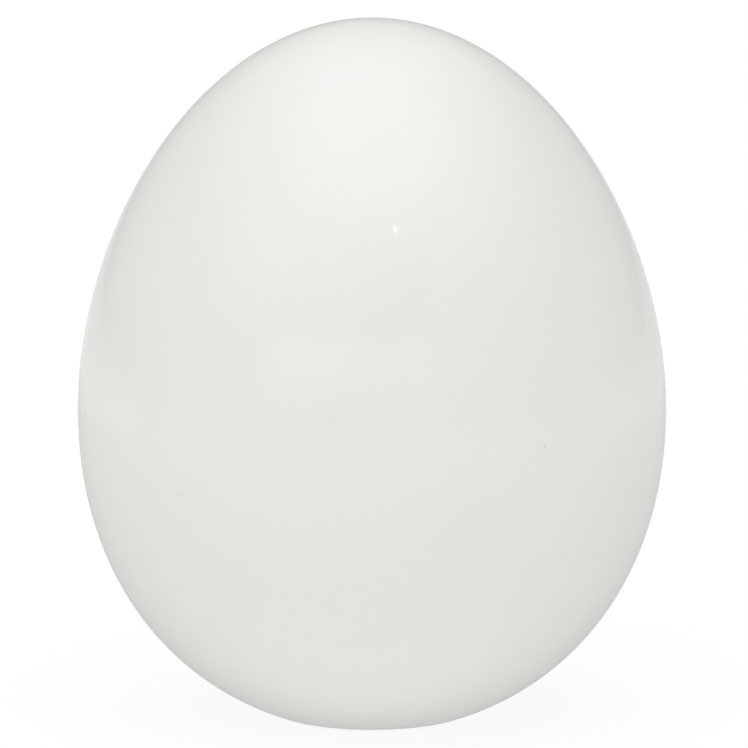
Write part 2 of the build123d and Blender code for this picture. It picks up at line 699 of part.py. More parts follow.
def escape_pinion():
    phase = facing_gap(THIRD_AT, ESCAPE_AT)
    return pinion(THIRD_MODULE, phase, ESCAPE_AT, (ESCAPE_LEAVES_FRONT_Y, ESCAPE_Y[0]))


# ---- click, which lets the arbor wind past the great wheel ----
CLICK_AT = polar(128.0, 7.4)
CLICK_STUD_AT = polar(60.0, 8.2)
CLICK_NOSE_AT = polar(90.0, 4.75)
CLICK_RADIUS = 0.9
CLICK_WIDTH = 0.9
CLICK_WIRE = 0.3
CLICK_CLEARANCE = 0.08  # from the ratchet's teeth
CLICK_WIRE_CLEARANCE = 0.06
CLICK_WIRE_REACH = 3.6  # along the click, to where the wire presses
CLICK_WIRE_INSET = 0.2
CLICK_STUD_RADIUS = 0.4
RIVET_RADIUS = 0.5


def click():
    """A pawl whose nose rests on the ratchet wheel."""
    clear = spot(RATCHET_TIP + CLICK_CLEARANCE)
    arm = bar(CLICK_AT, CLICK_NOSE_AT, CLICK_WIDTH) + spot(CLICK_RADIUS, CLICK_AT)
    nose = spot(CLICK_WIDTH / 2, CLICK_NOSE_AT) - clear
    body = (arm - clear) + nose
    return slab(body - spot(RIVET_RADIUS + RUNNING_CLEARANCE, CLICK_AT), RATCHET_Y)


def click_rivet():
    return rod(RIVET_RADIUS, RATCHET_Y[0], GREAT_Y[1], CLICK_AT)


def click_spring():
    """A straight wire from a stud on the great wheel to the back of the click."""
    stud = rod(CLICK_STUD_RADIUS, RATCHET_Y[0], GREAT_Y[1], CLICK_STUD_AT)
    along = angle_between(CLICK_AT, CLICK_NOSE_AT)
    beside = (CLICK_WIDTH + CLICK_WIRE) / 2 + CLICK_WIRE_CLEARANCE
    press = step_from(step_from(CLICK_AT, along, CLICK_WIRE_REACH), along + 90, beside)
    levels = (RATCHET_Y[0] + CLICK_WIRE_INSET, RATCHET_Y[1] - CLICK_WIRE_INSET)
    return stud + slab(bar(CLICK_STUD_AT, press, CLICK_WIRE), levels)


# ---- mainspring ----
SPRING_STRIP = 0.35
SPRING_INNER = 2.7
SPRING_STEP = 0.42  # growth of each half turn
SPRING_HALF_TURNS = 16
SPRING_HOOK_CLEARANCE = 0.03
SPRING_HOOK_ARC = 200  # degrees round the pillar


def mainspring():
    """A spiral of half circles about two centres, then a tail that hooks round a pillar."""
    half = SPRING_STRIP / 2
    left, right = [], []
    for i in range(SPRING_HALF_TURNS):
        centre = (SPRING_STEP * (i % 2), 0)
        radius = SPRING_INNER + SPRING_STEP * i
        start = 180 * (i % 2)
        left.append(CenterArc(centre, radius - half, start, 180))
        right.append(CenterArc(centre, radius + half, start, 180))
    coil_radius = SPRING_INNER + SPRING_STEP * SPRING_HALF_TURNS
    eye = PILLAR_RADIUS + SPRING_HOOK_CLEARANCE + half
    pillar_angle, pillar_reach = PILLARS[2]
    tail = sqrt(pillar_reach**2 - (coil_radius + eye) ** 2)
    tail_left = Line((coil_radius - half, 0), (coil_radius - half, tail))
    tail_right = Line((coil_radius + half, 0), (coil_radius + half, tail))
    hook = (coil_radius + eye, tail)
    hook_left = CenterArc(hook, eye + half, 180, -SPRING_HOOK_ARC)
    hook_right = CenterArc(hook, eye - half, 180, -SPRING_HOOK_ARC)
    start_cap = Line(left[0] @ 0, right[0] @ 0)
    end_cap = Line(hook_left @ 1, hook_right @ 1)
    face = make_face([start_cap, *left, tail_left, hook_left, end_cap, hook_right, tail_right, *right])
    turn = pillar_angle - degrees(atan2(tail, coil_radius + eye))
    return slab(Rot(0, 0, turn) * face, SPRING_Y)


# ---- escapement ----
ESCAPE_ROOT = 3.7
ESCAPE_ROOT_HALF = 4.5  # degrees
ESCAPE_TIP_HALF = 0.8
PALLET_ARBOR_RADIUS = 0.5
PALLET_HUB_RADIUS = 1.2
PALLET_ARM_WIDTH = 1.0
PALLET_PIN_FRONT = 0.1  # how far the pins reach in front of the escape wheel
FORK_REACH = 0.4  # past the flywheel's pin
FORK_DEPTH = 0.6
FORK_WALLS = 0.9  # both prongs together
FLYWHEEL_ARBOR_RADIUS = 0.35
FLYWHEEL_RIM = 1.2
FLYWHEEL_SPOKES = 3
FLYWHEEL_SPOKE_WIDTH = 1.0
FLYWHEEL_HUB_RADIUS = 1.6
FLYWHEEL_PIN_BACK = 0.2  # how far the pin reaches behind the lever


def escape_wheel():
    """Pointed teeth, phased so that both pallet pins can dip between them at rest."""
    pitch = 360 / ESCAPE_TEETH
    phase = PALLET_DIRECTION - PALLET_HALF_SPAN + pitch / 4
    corners = [(-ESCAPE_ROOT_HALF, ESCAPE_ROOT), (-ESCAPE_TIP_HALF, ESCAPE_RADIUS)]
    corners += [(-angle, radius) for angle, radius in corners[::-1]]
    points = []
    for i in range(ESCAPE_TEETH):
        points += [polar(phase + pitch * i + angle, radius) for angle, radius in corners]
    face = make_face(Polyline(*points, close=True)) - spot(TRAIN_ARBOR_RADIUS)
    return slab(Pos(*ESCAPE_AT) * face, ESCAPE_Y)


def pallet_pin_places():
    sides = (-PALLET_HALF_SPAN, PALLET_HALF_SPAN)
    return [step_from(ESCAPE_AT, PALLET_DIRECTION + side, PALLET_PIN_ORBIT) for side in sides]


def pallet_pins():
    front_y = ESCAPE_Y[0] - PALLET_PIN_FRONT
    return [rod(PALLET_PIN_RADIUS, front_y, LEVER_Y[1], at) for at in pallet_pin_places()]


def pallet_lever():
    """Two arms for the pallet pins and a fork that straddles the flywheel's pin."""
    pin_reach = FLYWHEEL_DISTANCE - FLYWHEEL_PIN_ORBIT
    fork_end = step_from(PALLET_AT, FORK_DIRECTION, pin_reach + FORK_REACH)
    slot_start = step_from(PALLET_AT, FORK_DIRECTION, pin_reach - FORK_DEPTH)
    slot_end = step_from(fork_end, FORK_DIRECTION, THROUGH)
    slot_width = 2 * (FLYWHEEL_PIN_RADIUS + FORK_CLEARANCE)
    face = spot(PALLET_HUB_RADIUS, PALLET_AT) + bar(PALLET_AT, fork_end, slot_width + FORK_WALLS)
    face -= bar(slot_start, slot_end, slot_width)
    for at in pallet_pin_places():
        face += bar(PALLET_AT, at, PALLET_ARM_WIDTH) + spot(PALLET_ARM_WIDTH / 2, at)
    for at in pallet_pin_places():
        face -= spot(PALLET_PIN_RADIUS, at)
    return slab(face - spot(PALLET_ARBOR_RADIUS, PALLET_AT), LEVER_Y)


def pallet_arbor():
    return plain_arbor(PALLET_AT, PALLET_ARBOR_RADIUS)


def flywheel_arbor():
    return plain_arbor(FLYWHEEL_AT, FLYWHEEL_ARBOR_RADIUS)


def flywheel_pin_place():
    return step_from(FLYWHEEL_AT, FORK_DIRECTION + 180, FLYWHEEL_PIN_ORBIT)


def flywheel():
    """A spoked rim, with a spoke on the side away from its pin."""
    face = spot(FLYWHEEL_RADIUS) - spot(FLYWHEEL_RADIUS - FLYWHEEL_RIM)
    spoke_reach = FLYWHEEL_RADIUS - FLYWHEEL_RIM / 2
    for i in range(FLYWHEEL_SPOKES):
        angle = FORK_DIRECTION + 60 + 360 * i / FLYWHEEL_SPOKES
        face += bar((0, 0), polar(angle, spoke_reach), FLYWHEEL_SPOKE_WIDTH)
    face += spot(FLYWHEEL_HUB_RADIUS)
    placed = Pos(*FLYWHEEL_AT) * (face - spot(FLYWHEEL_ARBOR_RADIUS))
    return slab(placed - spot(FLYWHEEL_PIN_RADIUS, flywheel_pin_place()), FLYWHEEL_Y)


def flywheel_pin():
    return rod(FLYWHEEL_PIN_RADIUS, FLYWHEEL_Y[0], LEVER_Y[1] + FLYWHEEL_PIN_BACK, flywheel_pin_place())


# ---- hammer and bell ----
def hammer_arbor():
    shoulder_y = FRONT_PLATE_Y[1] + ARBOR_END_PLAY
    pivot = rod(HAMMER_ARBOR_RADIUS / 2, FRONT_PLATE_Y[0] + PIVOT_INSET, shoulder_y, HAMMER_AT)
    return pivot + rod(HAMMER_ARBOR_RADIUS, shoulder_y, HAMMER_Y[1] + HAMMER_ARBOR_PROUD, HAMMER_AT)


def cam_follower():
    """The arm whose nose rides over the cam's lobe."""
    clear_radius = LOBE_RADIUS + FOLLOWER_CLEARANCE
    nose_at = polar(FOLLOWER_ANGLE, clear_radius + FOLLOWER_NOSE)
    face = bar(HAMMER_AT, nose_at, 2 * FOLLOWER_NOSE) + spot(FOLLOWER_NOSE, nose_at)
    face += spot(FOLLOWER_HUB_RADIUS, HAMMER_AT)
    face -= spot(clear_radius)
    return slab(face - spot(HAMMER_ARBOR_RADIUS, HAMMER_AT), CAM_Y)


def hammer_arm():
    face = bar(HAMMER_AT, HEAD_AT, ARM_WIDTH)
    face += spot(ARM_HUB_RADIUS, HAMMER_AT) + spot(ARM_EYE_RADIUS, HEAD_AT)
    face -= spot(HEAD_RIVET_RADIUS, HEAD_AT)
    return slab(face - spot(HAMMER_ARBOR_RADIUS, HAMMER_AT), HAMMER_Y)


def hammer_head():
    """A turned brass head, riveted through the end of the arm."""
    arm_front_y, arm_back_y = HAMMER_Y
    head = rod(HEAD_RADIUS, arm_back_y, arm_back_y + HEAD_LENGTH, HEAD_AT)
    head = fillet(head.edges().group_by(Axis.Y)[-1], HEAD_CROWN)
    return head + rod(HEAD_RIVET_RADIUS, arm_front_y - HEAD_RIVET_PROUD, arm_back_y, HEAD_AT)


def hammer_spring():
    """A leaf on the rear plate that pushes the arm outwards, towards the bell."""
    plate_y = REAR_PLATE_Y[1]
    toward = angle_between(HAMMER_AT, HEAD_AT)
    start = step_from(step_from(HAMMER_AT, toward, LEAF_START), toward + 90, LEAF_OFFSET)
    end = step_from(start, toward, LEAF_LENGTH)
    leaf = slab(bar(start, end, LEAF_THICK), (plate_y, HAMMER_Y[1] + LEAF_PROUD))
    foot_start = step_from(start, toward + 90, LEAF_FOOT_OFFSET)
    foot_end = step_from(end, toward + 90, LEAF_FOOT_OFFSET)
    foot = slab(bar(foot_start, foot_end, LEAF_FOOT_WIDTH), (plate_y, plate_y + LEAF_FOOT_THICK))
    return leaf + foot


def bell():
    """A pressed steel gong, open towards the rear plate."""
    front_y, back_y = BELL_Y
    outside = rod(BELL_RADIUS, front_y, back_y)
    outside = fillet(outside.edges().group_by(Axis.Y)[-1], BELL_CROWN)
    inside = rod(BELL_RADIUS - BELL_WALL, front_y - THROUGH, back_y - BELL_WALL)
    inside = fillet(inside.edges().group_by(Axis.Y)[-1], BELL_CROWN - BELL_WALL)
    return outside - inside - rod(BELL_BORE_RADIUS, front_y, back_y + THROUGH)


def bell_post():
    """A turned post, riveted to the rear plate, with a thread for the bell's nut."""
    seat_y = BELL_Y[1] - BELL_WALL
    flange = rod(POST_FLANGE_RADIUS, REAR_PLATE_Y[1], POST_FLANGE_BACK_Y)
    shaft = rod(POST_RADIUS, POST_FLANGE_BACK_Y, seat_y)
    return flange + shaft + rod(POST_THREAD_RADIUS, seat_y, BELL_Y[1] + POST_THREAD_LENGTH)


def bell_washer():
    face = spot(WASHER_RADIUS) - spot(BELL_BORE_RADIUS)
    return slab(face, (BELL_Y[1], BELL_Y[1] + WASHER_THICK))


def bell_nut():
    front_y = BELL_Y[1] + WASHER_THICK
    face = RegularPolygon(BELL_NUT_RADIUS, 6) - spot(POST_THREAD_RADIUS + FIT_CLEARANCE)
    return slab(face, (front_y, front_y + BELL_NUT_THICK))


def hammer_stop_collar():
    """Keeps the hammer arbor from sliding forwards through the rear plate."""
    face = spot(COLLAR_RADIUS, HAMMER_AT) - spot(HAMMER_ARBOR_RADIUS, HAMMER_AT)
    return slab(face, COLLAR_Y)


# ---- write every piece ----
def pieces():
    """Node name to its solids."""
    found = {
        "rear_shell": rear_shell(),
        "front_shell": front_shell(),
        "base_cover": base_cover(),
        "foot_pad": foot_pad(),
        "ballast_puck": ballast(),
        "base_screws": base_screws(),
        "dial_plate": dial_plate(),
        "knob": knob(),
        "pointer_inlay": pointer_inlay(),
        "front_plate": front_plate(),
        "rear_plate": rear_plate(),
        "pillar_nuts": pillar_nuts(),
        "movement_screws": movement_screws(),
        "arbor_bush": arbor_bush(),
        "winding_arbor": winding_arbor(),
        "alarm_cam": alarm_cam(),
        "cam_stop_pin": cam_stop_pin(),
        "plate_stop_pin": plate_stop_pin(),
        "ratchet_wheel": ratchet_wheel(),
        "great_wheel": great_wheel(),
        "click": click(),
        "click_rivet": click_rivet(),
        "click_spring": click_spring(),
        "mainspring": mainspring(),
        "second_pinion": second_pinion(),
        "second_wheel": second_wheel(),
        "third_pinion": third_pinion(),
        "third_wheel": third_wheel(),
        "escape_pinion": escape_pinion(),
        "escape_wheel": escape_wheel(),
        "pallet_arbor": pallet_arbor(),
        "pallet_lever": pallet_lever(),
        "pallet_pins": pallet_pins(),
        "flywheel_arbor": flywheel_arbor(),
        "flywheel": flywheel(),
        "flywheel_pin": flywheel_pin(),
        "hammer_arbor": hammer_arbor(),
        "cam_follower": cam_follower(),
        "hammer_arm": hammer_arm(),
        "hammer_head": hammer_head(),
        "hammer_stop_collar": hammer_stop_collar(),
        "hammer_spring": hammer_spring(),
        "bell": bell(),
        "bell_post": bell_post(),
        "bell_washer": bell_washer(),
        "bell_nut": bell_nut(),
    }
    for i, at in enumerate(pillar_places()):
        found[f"pillar_{i + 1}"] = pillar(at)
    return found


def main():
    os.makedirs("parts", exist_ok=True)
    for name, shape in pieces().items():
        solids = shape if isinstance(shape, list) else [shape]
        parts = [solid for part in solids for solid in part.solids()]
        export_step(parts[0] if len(parts) == 1 else Compound(children=parts), f"parts/{name}.step")
    places = {
        "second": SECOND_AT,
        "third": THIRD_AT,
        "escape": ESCAPE_AT,
        "pallet": PALLET_AT,
        "flywheel": FLYWHEEL_AT,
        "hammer": HAMMER_AT,
        "click": CLICK_AT,
    }
    for name, (u, v) in places.items():
        print(name, "arbor at x", round(u, 4), "z", round(DIAL_Z + v, 4))


main()
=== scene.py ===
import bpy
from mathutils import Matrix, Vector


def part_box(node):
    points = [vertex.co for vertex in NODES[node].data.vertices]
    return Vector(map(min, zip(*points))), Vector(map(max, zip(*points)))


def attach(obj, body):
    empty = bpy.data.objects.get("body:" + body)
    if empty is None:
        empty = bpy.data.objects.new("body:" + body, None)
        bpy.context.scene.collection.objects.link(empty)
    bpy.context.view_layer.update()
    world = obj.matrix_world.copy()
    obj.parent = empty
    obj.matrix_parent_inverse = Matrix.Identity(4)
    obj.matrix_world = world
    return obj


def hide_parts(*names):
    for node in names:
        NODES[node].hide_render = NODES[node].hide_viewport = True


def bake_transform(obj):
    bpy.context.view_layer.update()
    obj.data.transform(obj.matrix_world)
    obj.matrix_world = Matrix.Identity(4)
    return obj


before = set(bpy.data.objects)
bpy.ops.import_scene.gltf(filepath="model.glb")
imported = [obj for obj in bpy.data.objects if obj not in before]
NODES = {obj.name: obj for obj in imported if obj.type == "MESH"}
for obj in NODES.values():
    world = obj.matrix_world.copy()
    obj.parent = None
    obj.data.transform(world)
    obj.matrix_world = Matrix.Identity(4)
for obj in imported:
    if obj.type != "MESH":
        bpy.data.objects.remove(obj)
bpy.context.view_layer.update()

# Looks for an egg-shaped wind-up kitchen timer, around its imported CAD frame.
# Metres, +Z up, with the dial towards -Y and the plain back towards +Y.
import math

import bmesh
import bpy
from mathutils import Matrix, Vector

MM = 0.001
ALL_AXES = (1, 1, 1)
FLAT_AXES = (1, 0, 1)  # across the dial


def middle(node):
    """The middle of a node's box, in millimetres."""
    low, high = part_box(node)
    return tuple((low + high) / 2 / MM)


DIAL_AXIS = (0.0, 0.0, middle("knob")[2])


# ---- node helpers ----
class Tree:
    """Short calls that add linked nodes to a node tree."""

    def __init__(self, tree):
        self.nodes = tree.nodes
        self.links = tree.links

    def put(self, socket, value):
        if isinstance(value, bpy.types.NodeSocket):
            self.links.new(value, socket)
        else:
            socket.default_value = value

    def add(self, kind, inputs=(), **settings):
        node = self.nodes.new(kind)
        for key, value in settings.items():
            setattr(node, key, value)
        for key, value in dict(inputs).items():
            self.put(node.inputs[key], value)
        return node

    def math(self, operation, a, b=0.0):
        return self.add("ShaderNodeMath", {0: a, 1: b}, operation=operation).outputs[0]

    def vector(self, operation, a, b=(0, 0, 0), output="Vector"):
        return self.add("ShaderNodeVectorMath", {0: a, 1: b}, operation=operation).outputs[output]

    def spread(self, value, low, high, start=0.3, end=0.7, smooth=False):
        """Maps a value from start..end onto low..high, clamped."""
        inputs = {"Value": value, "From Min": start, "From Max": end, "To Min": low, "To Max": high}
        kind = "SMOOTHSTEP" if smooth else "LINEAR"
        return self.add("ShaderNodeMapRange", inputs, interpolation_type=kind).outputs["Result"]


class Look(Tree):
    """A procedural material under construction. Sizes are in millimetres, in the row frame."""

    def __init__(self, name):
        self.material = bpy.data.materials.new(name)
        self.material.use_nodes = True
        super().__init__(self.material.node_tree)
        self.shader = self.nodes["Principled BSDF"]
        coordinates = self.nodes.new("ShaderNodeTexCoord")
        self.place = self.scaled(coordinates.outputs["Object"], (1 / MM,) * 3)
        self.normal = None

    def scaled(self, vector, scale):
        return self.add("ShaderNodeMapping", {"Vector": vector, "Scale": scale}).outputs["Vector"]

    def noise(self, size, detail=3.0, stretch=(1, 1, 1), rough=0.5):
        """Noise from 0 to 1 whose features are about size millimetres across."""
        at = self.scaled(self.place, tuple(1 / s for s in stretch))
        inputs = {"Vector": at, "Scale": 1 / size, "Detail": detail, "Roughness": rough}
        return self.add("ShaderNodeTexNoise", inputs).outputs["Fac"]

    def mix(self, factor, a, b):
        node = self.add("ShaderNodeMix", data_type="RGBA")
        self.put(node.inputs[0], factor)
        for socket, value in ((node.inputs[6], a), (node.inputs[7], b)):
            self.put(socket, (*value, 1.0) if isinstance(value, tuple) else value)
        return node.outputs[2]

    def radius(self, centre, axes=FLAT_AXES):
        """Distance in millimetres from a place, counted along some axes only."""
        moved = self.vector("SUBTRACT", self.place, centre)
        return self.vector("LENGTH", self.vector("MULTIPLY", moved, axes), output="Value")

    def color(self, value):
        self.put(self.shader.inputs["Base Color"], value)

    def roughness(self, value):
        self.put(self.shader.inputs["Roughness"], value)

    def relief(self, value, depth):
        """Adds relief, where a value of 1 stands depth millimetres above 0."""
        inputs = {"Height": value, "Strength": 1.0, "Distance": depth * MM}
        if self.normal:
            inputs["Normal"] = self.normal
        self.normal = self.add("ShaderNodeBump", inputs).outputs["Normal"]
        self.put(self.shader.inputs["Normal"], self.normal)

    def settings(self, **values):
        for key, value in values.items():
            self.shader.inputs[key.replace("_", " ")].default_value = value


def srgb(red, green, blue):
    """A colour given as display values from 0 to 255, made linear."""
    def linear(value):
        value /= 255
        return value / 12.92 if value <= 0.04045 else ((value + 0.055) / 1.055) ** 2.4
    return linear(red), linear(green), linear(blue)


def shaded(color, share):
    return tuple(min(1.0, part * share) for part in color)


# ---- plastics, rubber and ink ----
SHELL_TONE = srgb(239, 240, 235)
SPECK_TONE = srgb(96, 72, 64)
SPECKS = [  # on the rear of the egg: sideways, up and radius in millimetres, and strength
    (-17.6, 33.4, 0.11, 0.22),
    (19.5, 28.1, 0.11, 0.16),
    (17.9, 17.8, 0.11, 0.12),
    (3.0, 19.6, 0.10, 0.09),
    (12.1, 9.0, 0.10, 0.12),
]
HAIR_CENTRE, HAIR_CURVE = (2.50, 30.3, 33.10), 4.46  # a faint curved hairline, and its radius
HAIR_MIDDLE, HAIR_REACH = (5.65, 30.3, 36.20), 2.5
SMUDGE, SMUDGE_RADIUS = (4.20, 30.5, 37.10), 0.7  # near the hairline's upper end
DUST_SPACING = 7.0  # about the millimetres between scattered grains, few of which lie on the surface


def glossy_shell():
    """White moulded plastic: nearly even, with faint cloud, slight orange peel and a few specks."""
    look = Look("shell_gloss_white")
    cloud = look.noise(14.0, 2.0)
    tone = look.mix(look.spread(cloud, 0.0, 1.0), shaded(SHELL_TONE, 0.992), shaded(SHELL_TONE, 1.006))
    tint = look.noise(3.5, 2.0)
    tone = look.mix(look.spread(tint, 0.0, 0.10), tone, srgb(243, 236, 232))
    fine = look.noise(0.9, 2.0)
    tone = look.mix(look.spread(fine, 0.0, 0.35, 0.35, 0.65), tone, shaded(SHELL_TONE, 0.985))
    scattered = {"Vector": look.place, "Scale": 1 / DUST_SPACING, "Randomness": 1.0}
    dust = look.add("ShaderNodeTexVoronoi", scattered)
    tone = look.mix(look.spread(dust.outputs["Distance"], 0.12, 0.0, 0.004, 0.011), tone, SPECK_TONE)
    toward_rear = look.add("ShaderNodeSeparateXYZ", {0: look.place}).outputs["Y"]
    rear = look.spread(toward_rear, 0.0, 1.0, 0.0, 1.0)
    for sideways, up, size, strength in SPECKS:
        dot = look.spread(look.radius((sideways, 0, up)), strength, 0.0, size * 0.4, size * 1.6)
        tone = look.mix(look.math("MULTIPLY", dot, rear), tone, SPECK_TONE)
    off_curve = look.math("ABSOLUTE", look.math("SUBTRACT", look.radius(HAIR_CENTRE), HAIR_CURVE))
    line = look.spread(off_curve, 0.028, 0.0, 0.03, 0.13)
    near = look.spread(look.radius(HAIR_MIDDLE, ALL_AXES), 1.0, 0.0, HAIR_REACH * 0.6, HAIR_REACH)
    tone = look.mix(look.math("MULTIPLY", line, near), tone, SPECK_TONE)
    smudge = look.spread(look.radius(SMUDGE, ALL_AXES), 0.022, 0.0, SMUDGE_RADIUS * 0.3, SMUDGE_RADIUS)
    look.color(look.mix(smudge, tone, SPECK_TONE))
    look.roughness(look.spread(look.noise(9.0, 3.0, (1, 1, 1.6)), 0.035, 0.06))
    look.relief(look.noise(2.6, 1.0), 0.0012)
    look.relief(look.noise(0.35, 2.0), 0.00025)
    look.settings(IOR=1.49, Subsurface_Weight=0.06, Subsurface_Scale=0.5)
    look.settings(Subsurface_Radius=(0.004, 0.0035, 0.003))
    return look.material


def satin_plastic(name, color, rough, grain):
    """Moulded plastic with a fine spark-eroded texture, whose grains are given in millimetres."""
    look = Look(name)
    cloud = look.noise(8.0, 3.0)
    tone = look.mix(look.spread(cloud, 0.0, 1.0), shaded(color, 0.975), shaded(color, 1.015))
    pits = look.noise(grain, 3.0, rough=0.6)
    look.color(look.mix(look.spread(pits, 0.0, 0.4, 0.35, 0.65), tone, shaded(color, 0.93)))
    look.roughness(look.spread(pits, rough - 0.06, rough + 0.08))
    look.relief(pits, grain * 0.04)
    look.relief(look.noise(grain * 7, 2.0), grain * 0.05)
    look.settings(IOR=1.5, Subsurface_Weight=0.03, Subsurface_Scale=0.3)
    return look.material


def rubber():
    """Dark rubber with a dusty bloom."""
    look = Look("foot_rubber")
    color = srgb(48, 48, 49)
    dust = look.noise(3.0, 4.0, rough=0.7)
    tone = look.mix(look.spread(dust, 0.0, 1.0, 0.4, 0.75), color, srgb(74, 73, 71))
    grain = look.noise(0.22, 3.0)
    look.color(look.mix(look.spread(grain, 0.0, 0.5), tone, shaded(color, 0.6)))
    look.roughness(look.spread(dust, 0.62, 0.85))
    look.relief(grain, 0.02)
    look.settings(IOR=1.5)
    return look.material


def ink(name):
    """Screen-printed ink: thin, satin, with a faint mottle."""
    look = Look(name)
    color = srgb(38, 38, 41)
    mottle = look.noise(0.25, 3.0)
    look.color(look.mix(look.spread(mottle, 0.0, 1.0), color, shaded(color, 1.7)))
    look.roughness(look.spread(mottle, 0.38, 0.55))
    look.relief(mottle, 0.004)
    return look.material


# ---- metals, each as (clean colour, stained colour) ----
BRASS = srgb(214, 178, 104), srgb(150, 112, 58)
STEEL = srgb(188, 188, 190), srgb(122, 122, 126)
ZINC = srgb(206, 209, 214), srgb(146, 148, 152)
BLUED = srgb(84, 92, 122), srgb(46, 46, 60)
NICKEL = srgb(218, 216, 210), srgb(160, 158, 152)
GRAIN_STRETCH = {"X": (60, 1, 1), "Y": (1, 60, 1), "Z": (1, 1, 60)}


def metal(name, finish, rough, grain="Y", about=None, stain=0.35, depth=0.002, anisotropic=0.0):
    """Softly stained metal with a ground grain along an axis, or turned rings about a line along Y."""
    look = Look(name)
    clean, dark = finish
    patches = look.noise(5.0, 4.0, rough=0.6)
    tone = look.mix(look.spread(patches, 0.0, stain, 0.4, 0.72), clean, dark)
    if about:
        inputs = {"W": look.radius(about), "Scale": 11.0, "Detail": 4.0, "Roughness": 0.65}
        lines = look.add("ShaderNodeTexNoise", inputs, noise_dimensions="1D").outputs["Fac"]
    else:
        lines = look.noise(0.09, 3.0, GRAIN_STRETCH[grain], 0.65)
    look.color(look.mix(look.spread(lines, 0.0, 0.35), tone, dark))
    both = look.math("ADD", lines, look.noise(2.2, 3.0))
    look.roughness(look.spread(both, rough * 0.7, rough * 1.4, 0.7, 1.3))
    look.relief(lines, depth)
    look.relief(look.noise(0.6, 2.0), depth * 0.6)
    look.settings(Metallic=1.0, Anisotropic=anisotropic)
    return look.material


def cast_metal():
    """Rough iron with a little rust."""
    look = Look("ballast_iron")
    lumps = look.noise(0.8, 4.0, rough=0.6)
    rust = look.noise(4.0, 5.0, rough=0.7)
    tone = look.mix(look.spread(lumps, 0.0, 0.7), srgb(132, 131, 130), srgb(92, 90, 88))
    look.color(look.mix(look.spread(rust, 0.0, 0.5, 0.6, 0.8), tone, srgb(112, 84, 62)))
    look.roughness(look.spread(lumps, 0.42, 0.7))
    look.relief(lumps, 0.03)
    look.settings(Metallic=0.85)
    return look.material


# ---- which node wears what ----
TURNED_BRASS = (
    "second_wheel", "third_wheel", "escape_wheel", "flywheel", "hammer_head", "hammer_stop_collar",
)


def looks():
    """Node name to its material."""
    shell = glossy_shell()
    brass_sheet = metal("brass_sheet", BRASS, 0.26, "X", anisotropic=0.3)
    steel_sheet = metal("steel_sheet", STEEL, 0.3, "Z")
    blued = metal("steel_blued", BLUED, 0.25, stain=0.5)
    zinc = metal("zinc_plate", ZINC, 0.24, stain=0.25)
    steel = metal("steel_ground", STEEL, 0.28)
    found = {name: steel for name in NODES}
    found.update({
        "rear_shell": shell,
        "front_shell": shell,
        "knob": shell,
        "dial_plate": satin_plastic("dial_satin", srgb(238, 238, 233), 0.42, 0.12),
        "pointer_inlay": ink("pointer_ink"),
        "base_cover": satin_plastic("cover_grained", srgb(228, 228, 222), 0.5, 0.3),
        "arbor_bush": satin_plastic("nylon", srgb(232, 229, 214), 0.4, 0.2),
        "foot_pad": rubber(),
        "ballast_puck": cast_metal(),
        "bell": metal("bell_nickel", NICKEL, 0.16, about=DIAL_AXIS, stain=0.2, depth=0.001),
        "bell_post": metal("post_brass", BRASS, 0.24, about=DIAL_AXIS),
        "alarm_cam": metal("cam_brass", BRASS, 0.24, about=DIAL_AXIS),
        "great_wheel": metal("great_brass", BRASS, 0.22, about=DIAL_AXIS),
        "ratchet_wheel": metal("ratchet_steel", STEEL, 0.3, about=DIAL_AXIS),
        "winding_arbor": metal("arbor_steel", STEEL, 0.26, "X"),
    })
    for name in ("front_plate", "rear_plate", "pallet_lever"):
        found[name] = brass_sheet
    for name in ("hammer_arm", "cam_follower", "click"):
        found[name] = steel_sheet
    for name in TURNED_BRASS:
        found[name] = metal(f"{name}_brass", BRASS, 0.23, about=middle(name))
    for name in ("mainspring", "click_spring", "hammer_spring"):
        found[name] = blued
    for name in ("base_screws", "movement_screws", "pillar_nuts", "bell_washer", "bell_nut"):
        found[name] = zinc
    return found


for name, material in looks().items():
    NODES[name].data.materials.clear()
    NODES[name].data.materials.append(material)


# ---- click spring, cut across along its length ----
SPRING_DEPTH = middle("click_spring")[1]
SPRING_FIXED = Vector((3.6, SPRING_DEPTH, 39.4)) * MM  # where the wire leaves its stud
SPRING_FREE = Vector((-0.7, SPRING_DEPTH, 38.15)) * MM  # where it presses on the click
SPRING_CUTS = 16


def bending_click_spring():
    """The same wire on its stud, cut across often enough to bend."""
    drawn = bmesh.new()
    drawn.from_mesh(NODES["click_spring"].data)
    along = SPRING_FREE - SPRING_FIXED
    for i in range(SPRING_CUTS + 1):
        everything = drawn.verts[:] + drawn.edges[:] + drawn.faces[:]
        place = SPRING_FIXED + along * (i / SPRING_CUTS)
        bmesh.ops.bisect_plane(drawn, geom=everything, plane_co=place, plane_no=along)
    mesh = NODES["click_spring"].data.copy()
    drawn.to_mesh(mesh)
    drawn.free()
    wire = bpy.data.objects.new("click_spring_wire", mesh)
    bpy.context.scene.collection.objects.link(wire)
    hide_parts("click_spring")
    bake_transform(wire)


bending_click_spring()


# ---- printed dial ----
MINUTES = 60
MINUTE_DEGREES = 5.5
NUMBER_STEP = 5  # minutes from one number, with its longer tick, to the next
PLATE_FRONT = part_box("dial_plate")[0].y
INK_THICK = 0.03 * MM
INK_SINK = 0.0006 * MM  # keeps the ink's back just off the plate
FIVE_MINUTE_TICK = (14.35 * MM, 15.85 * MM, 0.46 * MM)  # inner radius, outer radius, width
MINUTE_TICK = (14.65 * MM, 15.5 * MM, 0.22 * MM)
TICK_STEPS = 6  # of each round end
NUMBER_RADIUS = 18.0 * MM
NUMBER_SIZE = 3.05 * MM
DIAL_CENTRE = Vector((0, PLATE_FRONT, DIAL_AXIS[2] * MM))


